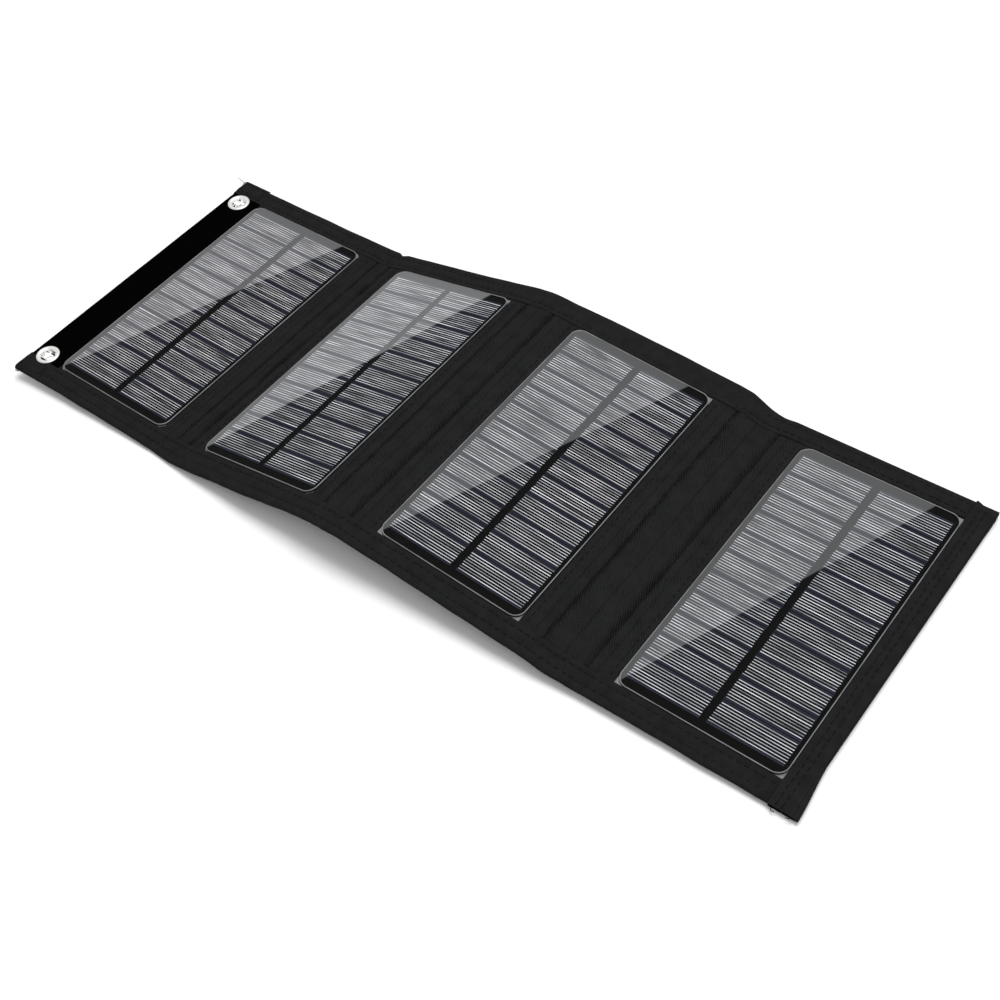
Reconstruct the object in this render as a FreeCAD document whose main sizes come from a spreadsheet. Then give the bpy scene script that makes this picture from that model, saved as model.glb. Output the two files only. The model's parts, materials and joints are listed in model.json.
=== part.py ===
"""Folding fabric solar charger: four solar modules in a hemmed fabric strip that folds like an accordion.

Every sub-part is drawn flat in the frame of its own section of the strip: X runs along the strip from
the section's left crease, Y runs across it from the middle, Z points out of the front face, and Z = 0
is the fold plane.  The section's placement then tilts it into the resting zigzag.
"""
import FreeCAD, Part
import os
import Sketcher

DIMENSIONS = {
    # solar module
    "module_wide": 72.0,
    "module_long": 140.0,
    "module_corner": 5.0,
    "backsheet_thick": 0.6,
    "clear_thick": 0.5,
    "clear_edge": 0.2,
    "cell_thick": 0.2,
    "cell_pitch": 12.0,
    "cell_gap": 0.4,
    "cell_rows": 11,
    "cell_side": 2.0,
    "column_gap": 3.0,
    # fabric layers; inner_half is half the space between the front and back covers
    "inner_half": 0.4,
    "fabric_thick": 0.6,
    "window_margin": 0.3,
    "cover_half": 80.9,
    "hem_inner": 70.5,
    "hem_outer": 81.5,
    "hem_thick": 0.5,
    "stiffener_border": 2.5,
    "stiffener_corner": 3.0,
    # clearances that let each crease turn a right angle
    "cover_clear": 1.2,
    "hem_clear": 1.7,
    # lengths along the strip
    "end_flap": 20.0,
    "border_1_right": 10.5,
    "spine_1": 9.0,
    "border_2_left": 8.5,
    "border_2_right": 8.5,
    "spine_2": 16.0,
    "border_3_left": 13.5,
    "border_3_right": 12.0,
    "spine_3": 21.0,
    "border_4_left": 12.5,
    "border_4_right": 10.5,
    "strip_edge": 0.3,
    # slope of each section at rest, in degrees, rising towards +X
    "slope_panel_1": -2.5,
    "slope_spine_1": 3.75,
    "slope_panel_2": 10.0,
    "slope_spine_2": 1.85,
    "slope_panel_3": -6.3,
    "slope_spine_3": -9.0,
    "slope_panel_4": -1.2,
    # left end: pile band, eyelets and folded corners
    "band_start": 1.0,
    "band_end": 19.0,
    "band_half": 70.3,
    "band_thick": 0.8,
    "eyelet_from_edge": 9.0,
    "eyelet_far": 66.0,
    "eyelet_near": 68.0,
    "eyelet_hole": 3.0,
    "eyelet_wall": 0.4,
    "eyelet_flange": 6.2,
    "eyelet_fit": 0.1,
    "flange_thick": 0.4,
    "patch_long": 17.0,
    "patch_inner": 72.5,
    "patch_thick": 0.4,
    "layer_clear": 0.05,
    # right end binding
    "binding_wide": 10.0,
    "binding_half": 82.5,
    "binding_thick": 0.5,
    # flat wires inside the hems
    "wire_from_middle": 73.5,
    "wire_wide": 3.0,
    "wire_thick": 0.7,
    # output box on the back of panel 3
    "box_from_crease": 8.0,
    "box_wide": 27.0,
    "box_long": 58.0,
    "box_deep": 8.0,
    "box_wall": 1.2,
    "box_corner": 2.0,
    "sleeve_room": 0.3,
    "sleeve_thick": 0.55,
    "circuit_thick": 1.0,
    "circuit_room": 0.4,
    "socket_wide": 13.0,
    "socket_high": 5.2,
    "socket_long": 14.0,
    "socket_wall": 0.4,
    "tongue_wide": 9.0,
    "tongue_thick": 1.2,
    "tongue_clear": 0.25,
    "coil_radius": 3.2,
    "coil_core": 1.4,
    "coil_high": 2.0,
    "lamp_radius": 1.5,
}

TOLERANCE = 1e-6
SECTIONS = ["panel_1", "spine_1", "panel_2", "spine_2", "panel_3", "spine_3", "panel_4"]
PANELS = ["panel_1", "panel_2", "panel_3", "panel_4"]
SPINES = ["spine_1", "spine_2", "spine_3"]

doc = FreeCAD.newDocument("solar_charger")
sheet = doc.addObject("Spreadsheet::Sheet", "Sizes")
pieces = []
piece_sections = {}


def fill_sheet():
    for row, (alias, value) in enumerate(DIMENSIONS.items(), start=1):
        sheet.set(f"A{row}", alias)
        sheet.set(f"B{row}", str(value))
        sheet.setAlias(f"B{row}", alias)
    doc.recompute()


def size(alias):
    return float(getattr(sheet, alias))


def on_sheet(expression):
    """An expression over plain aliases, rewritten so that each alias points at the sheet."""
    words = expression.replace("(", " ( ").replace(")", " ) ").split()
    return " ".join(f"Sizes.{word}" if word in DIMENSIONS else word for word in words)


def bind(item, **expressions):
    for prop, expression in expressions.items():
        item.setExpression(prop, on_sheet(expression))


def keep(item, label, section):
    """Names a finished sub-part and notes the section of the strip that it belongs to."""
    item.Label = label
    pieces.append(item)
    piece_sections[label] = section


# ---------------------------------------------------------------- sketches and bodies

def new_body(label):
    body = doc.addObject("PartDesign::Body", label)
    body.AllowCompound = True
    return body


def new_sketch(body, name, role, offset="0"):
    sketch = body.newObject("Sketcher::SketchObject", f"{body.Name}_{name}")
    plane = [item for item in body.Origin.OriginFeatures if item.Role == role][0]
    sketch.AttachmentSupport = [(plane, "")]
    sketch.MapMode = "FlatFace"
    sketch.setExpression("AttachmentOffset.Base.z", on_sheet(offset))
    return sketch


def datum(sketch, name, expression, kind, *points):
    index = sketch.addConstraint(Sketcher.Constraint(kind, *points, 1.0))
    sketch.renameConstraint(index, name)
    sketch.setExpression(f"Constraints.{name}", on_sheet(expression))


def add_rectangle(sketch, tag, low_u, high_u, low_v, high_v):
    """A rectangle whose four sides stand at the given signed distances from the sketch origin."""
    first = sketch.GeometryCount
    corners = [(1, 1), (2, 1), (2, 2), (1, 2)]
    for start, end in zip(corners, corners[1:] + corners[:1]):
        line = Part.LineSegment(FreeCAD.Vector(*start, 0), FreeCAD.Vector(*end, 0))
        sketch.addGeometry(line, False)
    for side in range(4):
        following = first + (side + 1) % 4
        sketch.addConstraint(Sketcher.Constraint("Coincident", first + side, 2, following, 1))
        direction = "Horizontal" if side % 2 == 0 else "Vertical"
        sketch.addConstraint(Sketcher.Constraint(direction, first + side))
    datum(sketch, f"{tag}_low_u", low_u, "DistanceX", -1, 1, first, 1)
    datum(sketch, f"{tag}_high_u", high_u, "DistanceX", -1, 1, first + 1, 2)
    datum(sketch, f"{tag}_low_v", low_v, "DistanceY", -1, 1, first, 1)
    datum(sketch, f"{tag}_high_v", high_v, "DistanceY", -1, 1, first + 1, 2)


def add_circle(sketch, tag, centre_u, centre_v, radius):
    index = sketch.GeometryCount
    circle = Part.Circle(FreeCAD.Vector(1, 1, 0), FreeCAD.Vector(0, 0, 1), 1)
    sketch.addGeometry(circle, False)
    datum(sketch, f"{tag}_u", centre_u, "DistanceX", -1, 1, index, 3)
    datum(sketch, f"{tag}_v", centre_v, "DistanceY", -1, 1, index, 3)
    datum(sketch, f"{tag}_radius", radius, "Radius", index)


def pad(body, sketch, length):
    feature = body.newObject("PartDesign::Pad", f"{sketch.Name}_pad")
    feature.Profile = sketch
    bind(feature, Length=length)
    body.Tip = feature
    return feature


def pocket(body, sketch, length, reverse=False):
    """Cuts the profile away and fails loudly if the cut misses the solid."""
    doc.recompute()
    before = body.Shape.Volume
    feature = body.newObject("PartDesign::Pocket", f"{sketch.Name}_cut")
    feature.Profile = sketch
    feature.Reversed = reverse
    bind(feature, Length=length)
    body.Tip = feature
    doc.recompute()
    if not body.Shape.Volume < before:
        raise RuntimeError(f"{feature.Name} cuts nothing")
    return feature


def is_upright(edge):
    ends = [vertex.Point for vertex in edge.Vertexes]
    if len(ends) != 2:
        return False
    return abs(ends[0].x - ends[1].x) < TOLERANCE and abs(ends[0].y - ends[1].y) < TOLERANCE


def lies_at(edge, level):
    return all(abs(vertex.Point.z - level) < TOLERANCE for vertex in edge.Vertexes)


def dress(body, kind, suffix, chosen):
    """Adds a fillet or chamfer on the edges of the body's tip that the test picks out."""
    doc.recompute()
    base = body.Tip
    names = [f"Edge{number}" for number, edge in enumerate(base.Shape.Edges, start=1) if chosen(edge)]
    feature = body.newObject(kind, f"{base.Name}_{suffix}")
    feature.Base = (base, names)
    body.Tip = feature
    return feature


def round_uprights(body, radius):
    """Rounds the edges of a padded plate that run along Z."""
    bind(dress(body, "PartDesign::Fillet", "round", is_upright), Radius=radius)


def plate(label, low_x, high_x, half_y, low_z, thick):
    """A flat rectangular layer, centred across the strip."""
    body = new_body(label)
    sketch = new_sketch(body, "outline", "XY_Plane", low_z)
    add_rectangle(sketch, "outline", low_x, high_x, f"0 - ( {half_y} )", half_y)
    pad(body, sketch, thick)
    return body


# ---------------------------------------------------------------- places along the strip

def panel_number(section):
    return int(section[-1])


def module_start(section):
    return "end_flap" if section == "panel_1" else f"border_{panel_number(section)}_left"


def section_length(section):
    if section in SPINES:
        return section
    return f"{module_start(section)} + module_wide + border_{panel_number(section)}_right"


def cover_range(section):
    """Where a section's fabric starts and stops: at a crease's clearance, or at the strip's own end."""
    low = "strip_edge" if section == "panel_1" else "cover_clear"
    high = "strip_edge" if section == "panel_4" else "cover_clear"
    return low, f"{section_length(section)} - {high}"


def hem_range(section):
    low = "strip_edge" if section == "panel_1" else "hem_clear"
    high = "strip_edge" if section == "panel_4" else "hem_clear"
    return low, f"{section_length(section)} - {high}"


def evaluate(expression):
    scope = {alias: size(alias) for alias in DIMENSIONS}
    total = 0.0
    sign = 1.0
    for word in expression.split():
        if word in "+-":
            sign = -1.0 if word == "-" else 1.0
        else:
            total += sign * (scope[word] if word in scope else float(word))
    return total


def section_placements():
    """Chains the sections end to end, each with its own slope."""
    placements = {}
    creases = [FreeCAD.Vector(0, 0, 0)]
    for section in SECTIONS:
        slope = size(f"slope_{section}")
        turn = FreeCAD.Rotation(FreeCAD.Vector(0, 1, 0), -slope)
        placements[section] = FreeCAD.Placement(creases[-1], turn)
        length = evaluate(section_length(section))
        creases.append(creases[-1] + turn.multVec(FreeCAD.Vector(length, 0, 0)))
    return placements, creases


# ---------------------------------------------------------------- pieces found in every panel

FRONT = "inner_half"
BACK = "0 - inner_half - fabric_thick"
HEM_FACE = "inner_half + fabric_thick"


def eyelet_circles(sketch, radius):
    add_circle(sketch, "far", "eyelet_from_edge", "eyelet_far", radius)
    add_circle(sketch, "near", "eyelet_from_edge", "0 - eyelet_near", radius)


def cut_eyelet_holes(body, level, depth):
    """Opens the clearance holes for both eyelet barrels, from the given level down."""
    holes = new_sketch(body, "holes", "XY_Plane", level)
    eyelet_circles(holes, "eyelet_hole + eyelet_wall + eyelet_fit")
    pocket(body, holes, depth)


def front_cover(section):
    """Front fabric with the square-cornered window around the module."""
    low, high = cover_range(section)
    body = plate(f"front_cover_{panel_number(section)}", low, high, "cover_half", FRONT, "fabric_thick")
    window = new_sketch(body, "window", "XY_Plane", HEM_FACE)
    start = module_start(section)
    half = "module_long / 2 + window_margin"
    add_rectangle(window, "window", f"{start} - window_margin", f"{start} + module_wide + window_margin",
                  f"0 - ( {half} )", half)
    pocket(body, window, "fabric_thick")
    if section == "panel_1":
        cut_eyelet_holes(body, HEM_FACE, "fabric_thick")
    keep(body, body.Name, section)


def back_cover(section):
    low, high = cover_range(section)
    body = plate(f"back_cover_{panel_number(section)}", low, high, "cover_half", BACK, "fabric_thick")
    if section == "panel_1":
        cut_eyelet_holes(body, "0 - inner_half", "fabric_thick")
    keep(body, body.Name, section)


def stiffener(section):
    """Thin plastic board between the covers, which carries the module."""
    start = module_start(section)
    body = plate(f"stiffener_{panel_number(section)}", f"{start} - stiffener_border",
                 f"{start} + module_wide + stiffener_border",
                 "module_long / 2 + stiffener_border", "0 - inner_half", "2 * inner_half")
    round_uprights(body, "stiffener_corner")
    keep(body, body.Name, section)


def module_plate(label, section, low_z, thick):
    start = module_start(section)
    body = plate(label, start, f"{start} + module_wide", "module_long / 2", low_z, thick)
    round_uprights(body, "module_corner")
    return body


def backsheet(section):
    label = f"module_backsheet_{panel_number(section)}"
    body = module_plate(label, section, "inner_half", "backsheet_thick")
    keep(body, label, section)


COLUMN_WIDE = "( module_wide - column_gap ) / 2 - cell_side"
COLUMN_HALF = "( cell_rows * cell_pitch - cell_gap ) / 2"


def column_starts(section):
    start = module_start(section)
    return [f"{start} + cell_side", f"{start} + module_wide / 2 + column_gap / 2"]


def clear_layer(section):
    """Clear front layer with a rounded upper rim; two shallow recesses below hold the cells."""
    label = f"module_clear_layer_{panel_number(section)}"
    body = module_plate(label, section, "inner_half + backsheet_thick", "clear_thick")
    top = size("inner_half") + size("backsheet_thick") + size("clear_thick")
    bevel = dress(body, "PartDesign::Chamfer", "bevel", lambda edge: lies_at(edge, top))
    bind(bevel, Size="clear_edge")
    recess = new_sketch(body, "recess", "XY_Plane", "inner_half + backsheet_thick")
    for tag, low in zip(("left", "right"), column_starts(section)):
        add_rectangle(recess, tag, low, f"{low} + {COLUMN_WIDE}", f"0 - ( {COLUMN_HALF} )", COLUMN_HALF)
    pocket(body, recess, "cell_thick", reverse=True)
    keep(body, label, section)


def solar_cells(section):
    """Two columns of cells in one row of the sketch, repeated along the module."""
    label = f"solar_cells_{panel_number(section)}"
    body = new_body(label)
    sketch = new_sketch(body, "first_row", "XY_Plane", "inner_half + backsheet_thick")
    for tag, low in zip(("left", "right"), column_starts(section)):
        add_rectangle(sketch, tag, low, f"{low} + {COLUMN_WIDE}", f"0 - ( {COLUMN_HALF} )",
                      f"cell_pitch - cell_gap - ( {COLUMN_HALF} )")
    row = pad(body, sketch, "cell_thick")
    doc.recompute()
    pattern = body.newObject("PartDesign::LinearPattern", f"{label}_rows")
    pattern.Originals = [row]
    pattern.Direction = (sketch, ["V_Axis"])
    pattern.Occurrences = int(size("cell_rows"))
    bind(pattern, Length="( cell_rows - 1 ) * cell_pitch")
    body.Tip = pattern
    keep(body, label, section)


def edge_hems(section):
    """Folded binding along both long edges: a U of fabric around the two covers."""
    low, high = hem_range(section)
    body = new_body(f"edge_hems_{section}")
    sketch = new_sketch(body, "profile", "YZ_Plane", low)
    face = f"( {HEM_FACE} )"
    for tag, side in (("far", ""), ("near", "0 - ")):
        inner = f"{side}hem_inner"
        outer = f"{side}hem_outer"
        ends = (inner, outer) if tag == "far" else (outer, inner)
        add_rectangle(sketch, tag, *ends, f"0 - {face} - hem_thick", f"{face} + hem_thick")
    pad(body, sketch, f"{high} - {low}")
    room = new_sketch(body, "room", "YZ_Plane", low)
    for tag, side in (("far", ""), ("near", "0 - ")):
        inner = f"{side}( hem_inner - hem_thick )"
        outer = f"{side}( hem_outer - hem_thick )"
        ends = (inner, outer) if tag == "far" else (outer, inner)
        add_rectangle(room, tag, *ends, f"0 - {face}", face)
    pocket(body, room, f"{high} - {low}", reverse=True)
    if section == "panel_1":
        cut_eyelet_holes(body, f"{HEM_FACE} + hem_thick", f"2 * ( {HEM_FACE} + hem_thick )")
    keep(body, body.Name, section)


def bus_wires(section):
    """The two flat power wires that run inside the hems from panel to panel."""
    low, high = cover_range(section)
    low = f"{module_start(section)} - stiffener_border" if section == "panel_1" else low
    high = f"{high} - border_4_right" if section == "panel_4" else high
    body = new_body(f"bus_wires_{section}")
    sketch = new_sketch(body, "outline", "XY_Plane", "0 - wire_thick / 2")
    add_rectangle(sketch, "far", low, high, "wire_from_middle", "wire_from_middle + wire_wide")
    add_rectangle(sketch, "near", low, high, "0 - wire_from_middle - wire_wide", "0 - wire_from_middle")
    pad(body, sketch, "wire_thick")
    keep(body, body.Name, section)


def spine_fabric(section):
    """Front and back fabric of the strip between two creases."""
    low, high = cover_range(section)
    body = new_body(f"spine_fabric_{panel_number(section)}")
    sketch = new_sketch(body, "layers", "XZ_Plane", "0 - cover_half")
    add_rectangle(sketch, "front", low, high, FRONT, "inner_half + fabric_thick")
    add_rectangle(sketch, "back", low, high, BACK, "0 - inner_half")
    pad(body, sketch, "2 * cover_half")
    keep(body, body.Name, section)


# ---------------------------------------------------------------- the two ends of the strip

def end_band():
    """Pile closing tape across the left end, cut out around the two eyelets."""
    body = plate("end_band", "band_start", "band_end", "band_half",
                    f"{HEM_FACE} + layer_clear", "band_thick")
    notches = new_sketch(body, "notches", "XY_Plane", f"{HEM_FACE} + layer_clear + band_thick")
    eyelet_circles(notches, "eyelet_flange + eyelet_fit")
    pocket(body, notches, "band_thick")
    keep(body, "end_band", "panel_1")


def corner_patches():
    """Folded ends of the hems at the left corners, cut round the eyelet flanges."""
    body = new_body("corner_patches")
    level = f"{HEM_FACE} + hem_thick + layer_clear"
    sketch = new_sketch(body, "outline", "XY_Plane", level)
    add_rectangle(sketch, "far", "strip_edge", "patch_long", "patch_inner", "hem_outer")
    add_rectangle(sketch, "near", "strip_edge", "patch_long", "0 - hem_outer", "0 - patch_inner")
    pad(body, sketch, "patch_thick")
    notches = new_sketch(body, "notches", "XY_Plane", f"{level} + patch_thick")
    eyelet_circles(notches, "eyelet_flange + eyelet_fit")
    pocket(body, notches, "patch_thick")
    keep(body, "corner_patches", "panel_1")


EYELET_LEVEL = f"( {HEM_FACE} + hem_thick + layer_clear )"


def eyelet_flanges(label, low_z):
    """The round flanges of both eyelets on one face of the strip."""
    body = new_body(label)
    sketch = new_sketch(body, "flange", "XY_Plane", low_z)
    eyelet_circles(sketch, "eyelet_flange")
    pad(body, sketch, "flange_thick")
    return body


def eyelet_bores(body, top_z, depth, radius):
    bore = new_sketch(body, "bore", "XY_Plane", top_z)
    eyelet_circles(bore, radius)
    pocket(body, bore, depth)
    keep(body, body.Name, "panel_1")


def eyelets():
    """Front flanges with barrels that reach through the strip, and the washers behind."""
    front = eyelet_flanges("eyelet_fronts", EYELET_LEVEL)
    barrel = new_sketch(front, "barrel", "XY_Plane", f"0 - {EYELET_LEVEL} - flange_thick")
    eyelet_circles(barrel, "eyelet_hole + eyelet_wall")
    pad(front, barrel, f"2 * {EYELET_LEVEL} + flange_thick")
    eyelet_bores(front, f"{EYELET_LEVEL} + flange_thick", f"2 * ( {EYELET_LEVEL} + flange_thick )",
                 "eyelet_hole")
    washers = eyelet_flanges("eyelet_washers", f"0 - {EYELET_LEVEL} - flange_thick")
    eyelet_bores(washers, f"0 - {EYELET_LEVEL}", "flange_thick", "eyelet_hole + eyelet_wall")


def right_binding():
    """Wide tape folded over the right end; it runs past both hems."""
    body = new_body("right_end_binding")
    outer = section_length("panel_4")
    level = f"( {HEM_FACE} + hem_thick + layer_clear )"
    sketch = new_sketch(body, "outline", "XZ_Plane", "0 - binding_half")
    add_rectangle(sketch, "outline", f"{outer} - binding_wide", f"{outer} + binding_thick",
                  f"0 - {level} - binding_thick", f"{level} + binding_thick")
    pad(body, sketch, "2 * binding_half")
    room = new_sketch(body, "room", "XZ_Plane", "0 - binding_half")
    add_rectangle(room, "room", f"{outer} - 2 * binding_wide", outer, f"0 - {level}", level)
    pocket(body, room, "2 * binding_half", reverse=True)
    keep(body, "right_end_binding", "panel_4")


# ---------------------------------------------------------------- output box on the back of panel 3

BOX_TOP = "0 - inner_half - fabric_thick - sleeve_room"
BOX_MIDDLE = f"{BOX_TOP} - box_deep / 2"
SOCKET_LOW = f"{BOX_MIDDLE} - socket_high / 2"


def box_shell(label, low_z, open_up):
    """Half of the output box: a tray with rounded corners and half of the socket's cut-out."""
    body = plate(label, "box_from_crease", "box_from_crease + box_wide", "box_long / 2",
                 low_z, "box_deep / 2")
    round_uprights(body, "box_corner")
    floor = f"{low_z} + box_wall" if open_up else low_z
    room = new_sketch(body, "room", "XY_Plane", floor)
    add_rectangle(room, "room", "box_from_crease + box_wall", "box_from_crease + box_wide - box_wall",
                  "box_wall - box_long / 2", "box_long / 2 - box_wall")
    pocket(body, room, "box_deep / 2 - box_wall", reverse=True)
    mouth = new_sketch(body, "mouth", "XZ_Plane", "box_long / 2")
    middle = "box_from_crease + box_wide / 2"
    half = "( socket_wide / 2 + layer_clear )"
    add_rectangle(mouth, "mouth", f"{middle} - {half}", f"{middle} + {half}",
                  f"{SOCKET_LOW} - layer_clear", f"{SOCKET_LOW} + socket_high + layer_clear")
    pocket(body, mouth, "box_wall")
    keep(body, label, "panel_3")


def block(name, low, extent):
    """A Part::Box whose corner and edges are expressions over the sheet."""
    box = doc.addObject("Part::Box", name)
    bind(box, Length=extent[0], Width=extent[1], Height=extent[2])
    for axis, expression in zip("xyz", low):
        box.setExpression(f"Placement.Base.{axis}", on_sheet(expression))
    return box


def boolean(kind, label, base, tool):
    result = doc.addObject(kind, label)
    result.Base = base
    result.Tool = tool
    return result


def sleeve():
    """Fabric sleeve sewn to the back cover around the box, open at the socket end."""
    skin = "sleeve_thick"
    room = "sleeve_room"
    outer = block("sleeve_outer",
                  [f"box_from_crease - {room} - {skin}", f"0 - box_long / 2 - {room}",
                   f"{BOX_TOP} - box_deep - {room} - {skin}"],
                  [f"box_wide + 2 * ( {room} + {skin} )", f"box_long + 2 * {room} + {skin}",
                   f"box_deep + 2 * {room} + {skin}"])
    inner = block("sleeve_inner",
                  [f"box_from_crease - {room}", f"0 - box_long / 2 - 2 * {room}",
                   f"{BOX_TOP} - box_deep - {room}"],
                  [f"box_wide + 2 * {room}", f"box_long + 3 * {room}", f"box_deep + 3 * {room}"])
    keep(boolean("Part::Cut", "box_sleeve", outer, inner), "box_sleeve", "panel_3")


def circuit_board():
    """Converter board across the box, behind the socket."""
    gap = "( box_wall + circuit_room )"
    body = new_body("circuit_board")
    sketch = new_sketch(body, "outline", "XY_Plane", f"{BOX_MIDDLE} - circuit_thick / 2")
    add_rectangle(sketch, "outline", f"box_from_crease + {gap}", f"box_from_crease + box_wide - {gap}",
                  f"{gap} - box_long / 2 + socket_long", f"box_long / 2 - {gap}")
    pad(body, sketch, "circuit_thick")
    keep(body, "circuit_board", "panel_3")


def usb_socket():
    """Sheet-metal shell of the output socket with its contact tongue."""
    middle = "box_from_crease + box_wide / 2"
    mouth = "0 - box_long / 2"
    outer = block("socket_outer", [f"{middle} - socket_wide / 2", mouth, SOCKET_LOW],
                  ["socket_wide", "socket_long", "socket_high"])
    inner = block("socket_inner",
                  [f"{middle} - socket_wide / 2 + socket_wall", f"{mouth} - socket_wall",
                   f"{SOCKET_LOW} + socket_wall"],
                  ["socket_wide - 2 * socket_wall", "socket_long", "socket_high - 2 * socket_wall"])
    shell = boolean("Part::Cut", "socket_shell", outer, inner)
    tongue = block("socket_tongue",
                   [f"{middle} - tongue_wide / 2", f"{mouth} + 2 * socket_wall",
                    f"{SOCKET_LOW} + socket_high - socket_wall - tongue_clear - tongue_thick"],
                   ["tongue_wide", "socket_long - 2 * socket_wall", "tongue_thick"])
    keep(boolean("Part::Fuse", "usb_socket", shell, tongue), "usb_socket", "panel_3")


def coil():
    """Ring coil that stands on the circuit board."""
    parts = []
    for name, radius in (("coil_outer", "coil_radius"), ("coil_inner", "coil_core")):
        cylinder = doc.addObject("Part::Cylinder", name)
        bind(cylinder, Radius=radius, Height="coil_high")
        cylinder.setExpression("Placement.Base.x", on_sheet("box_from_crease + box_wide / 2"))
        cylinder.setExpression("Placement.Base.y", on_sheet("box_long / 4"))
        cylinder.setExpression("Placement.Base.z", on_sheet(f"{BOX_MIDDLE} + circuit_thick / 2"))
        parts.append(cylinder)
    keep(boolean("Part::Cut", "converter_coil", *parts), "converter_coil", "panel_3")


def status_lamp():
    """Domed indicator lamp under the circuit board."""
    body = new_body("status_lamp")
    sketch = new_sketch(body, "outline", "XY_Plane", f"{BOX_MIDDLE} - circuit_thick / 2 - lamp_radius")
    add_circle(sketch, "lamp", "box_from_crease + box_wide / 2", "0", "lamp_radius")
    pad(body, sketch, "lamp_radius")
    doc.recompute()
    low = body.Shape.BoundBox.ZMin
    bind(dress(body, "PartDesign::Fillet", "dome", lambda edge: lies_at(edge, low)), Radius="lamp_radius / 2")
    keep(body, "status_lamp", "panel_3")


# ---------------------------------------------------------------- assembly

def build_pieces():
    for section in PANELS:
        front_cover(section)
        back_cover(section)
        stiffener(section)
        backsheet(section)
        solar_cells(section)
        clear_layer(section)
    for section in SPINES:
        spine_fabric(section)
    for section in SECTIONS:
        edge_hems(section)
        bus_wires(section)
    end_band()
    corner_patches()
    eyelets()
    right_binding()
    box_shell("box_base", f"{BOX_MIDDLE}", open_up=False)
    box_shell("box_lid", f"{BOX_TOP} - box_deep", open_up=True)
    sleeve()
    circuit_board()
    usb_socket()
    coil()
    status_lamp()
    doc.recompute()


def settle():
    """Tilts every piece into its section, then stands the whole strip on Z = 0, centred on X."""
    placements, creases = section_placements()
    for piece in pieces:
        placement = placements[piece_sections[piece.Label]]
        piece.Placement = placement.multiply(piece.Placement)
    doc.recompute()
    box = FreeCAD.BoundBox()
    for piece in pieces:
        box.add(piece.Shape.BoundBox)
    shift = FreeCAD.Vector(-box.Center.x, 0, -box.ZMin)
    for piece in pieces:
        piece.Placement = FreeCAD.Placement(shift, FreeCAD.Rotation()).multiply(piece.Placement)
    doc.recompute()
    return [crease + shift for crease in creases]


def check():
    for item in doc.Objects:
        if "Invalid" in item.State or "Error" in item.State:
            raise RuntimeError(f"{item.Label} failed: {item.State}")
    for piece in pieces:
        if piece.Shape.isNull() or not piece.Shape.isValid() or piece.Shape.Volume <= 0:
            raise RuntimeError(f"{piece.Label} has no valid solid")


def export():
    os.makedirs("parts", exist_ok=True)
    for piece in pieces:
        piece.Shape.exportStep(f"parts/{piece.Label}.step")


fill_sheet()
build_pieces()
crease_points = settle()
check()
export()
for number, point in enumerate(crease_points):
    print(f"crease {number}: x {point.x:.4f} z {point.z:.4f}")
print(f"{len(pieces)} sub-parts written")
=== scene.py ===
"""Looks of the folding solar charger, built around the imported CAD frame."""
import json
import math
import random

import bmesh
import bpy
import numpy as np
from mathutils import Matrix, Vector, noise


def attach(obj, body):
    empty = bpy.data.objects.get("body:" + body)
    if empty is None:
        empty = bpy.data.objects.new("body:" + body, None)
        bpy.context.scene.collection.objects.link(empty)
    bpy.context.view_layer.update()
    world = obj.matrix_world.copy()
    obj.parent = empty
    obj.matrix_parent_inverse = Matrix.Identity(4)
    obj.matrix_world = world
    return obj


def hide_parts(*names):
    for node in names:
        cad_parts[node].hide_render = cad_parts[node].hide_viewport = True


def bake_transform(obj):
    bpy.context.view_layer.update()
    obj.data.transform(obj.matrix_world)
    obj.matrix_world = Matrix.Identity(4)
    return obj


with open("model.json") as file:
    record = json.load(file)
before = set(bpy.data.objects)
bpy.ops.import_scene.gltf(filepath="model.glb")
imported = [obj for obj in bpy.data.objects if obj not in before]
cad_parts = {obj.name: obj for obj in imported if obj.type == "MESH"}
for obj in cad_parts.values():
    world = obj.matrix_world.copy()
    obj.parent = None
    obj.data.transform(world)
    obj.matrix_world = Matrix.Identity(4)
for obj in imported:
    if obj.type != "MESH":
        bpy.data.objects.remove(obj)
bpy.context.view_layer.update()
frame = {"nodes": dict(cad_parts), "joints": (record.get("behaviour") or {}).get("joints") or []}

MM = 0.001
PER_CM = 100  # cloth coordinates are in centimetres
UP = Vector((0, 0, 1))
ACROSS = Vector((0, 1, 0))
rng = random.Random(7)


def clamp(value):
    return min(max(value, 0), 1)


def lerp(a, b, t):
    return a * (1 - t) + b * t


def smooth_step(value, low, high):
    t = clamp((value - low) / (high - low))
    return t * t * (3 - 2 * t)


def rumple(x, y, seed):
    """Smooth noise between about -1 and 1."""
    return noise.noise(Vector((x, y, seed)))


def groove(offset, width, depth):
    return -depth * math.exp(-(offset / width) ** 2)


# ---- the strip, read from the frame
# u is the distance along the strip from its left end and v the distance across it from its middle line

class Section:
    """A flat length of the strip: its left crease, the direction along it and its front normal."""

    def __init__(self, name, start, end):
        self.name = name
        self.start = start
        self.along = (end - start).normalized()
        self.length = (end - start).length
        self.normal = self.along.cross(ACROSS).normalized()

    def point(self, along, across, height):
        """A row-frame point from section coordinates in metres."""
        return self.start + self.along * along + ACROSS * across + self.normal * height

    def local(self, point):
        offset = Vector(point) - self.start
        return offset.dot(self.along), offset.y, offset.dot(self.normal)


def face_direction(node):
    """Direction along the strip of a flat node, from the normal of its largest upward face."""
    upward = (face for face in frame["nodes"][node].data.polygons if face.normal.z > 0.5)
    return ACROSS.cross(max(upward, key=lambda face: face.area).normal).normalized()


def span(node, section):
    """Lowest and highest section coordinates of a node."""
    points = np.array([section.local(vertex.co) for vertex in frame["nodes"][node].data.vertices])
    return points.min(axis=0), points.max(axis=0)


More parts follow.
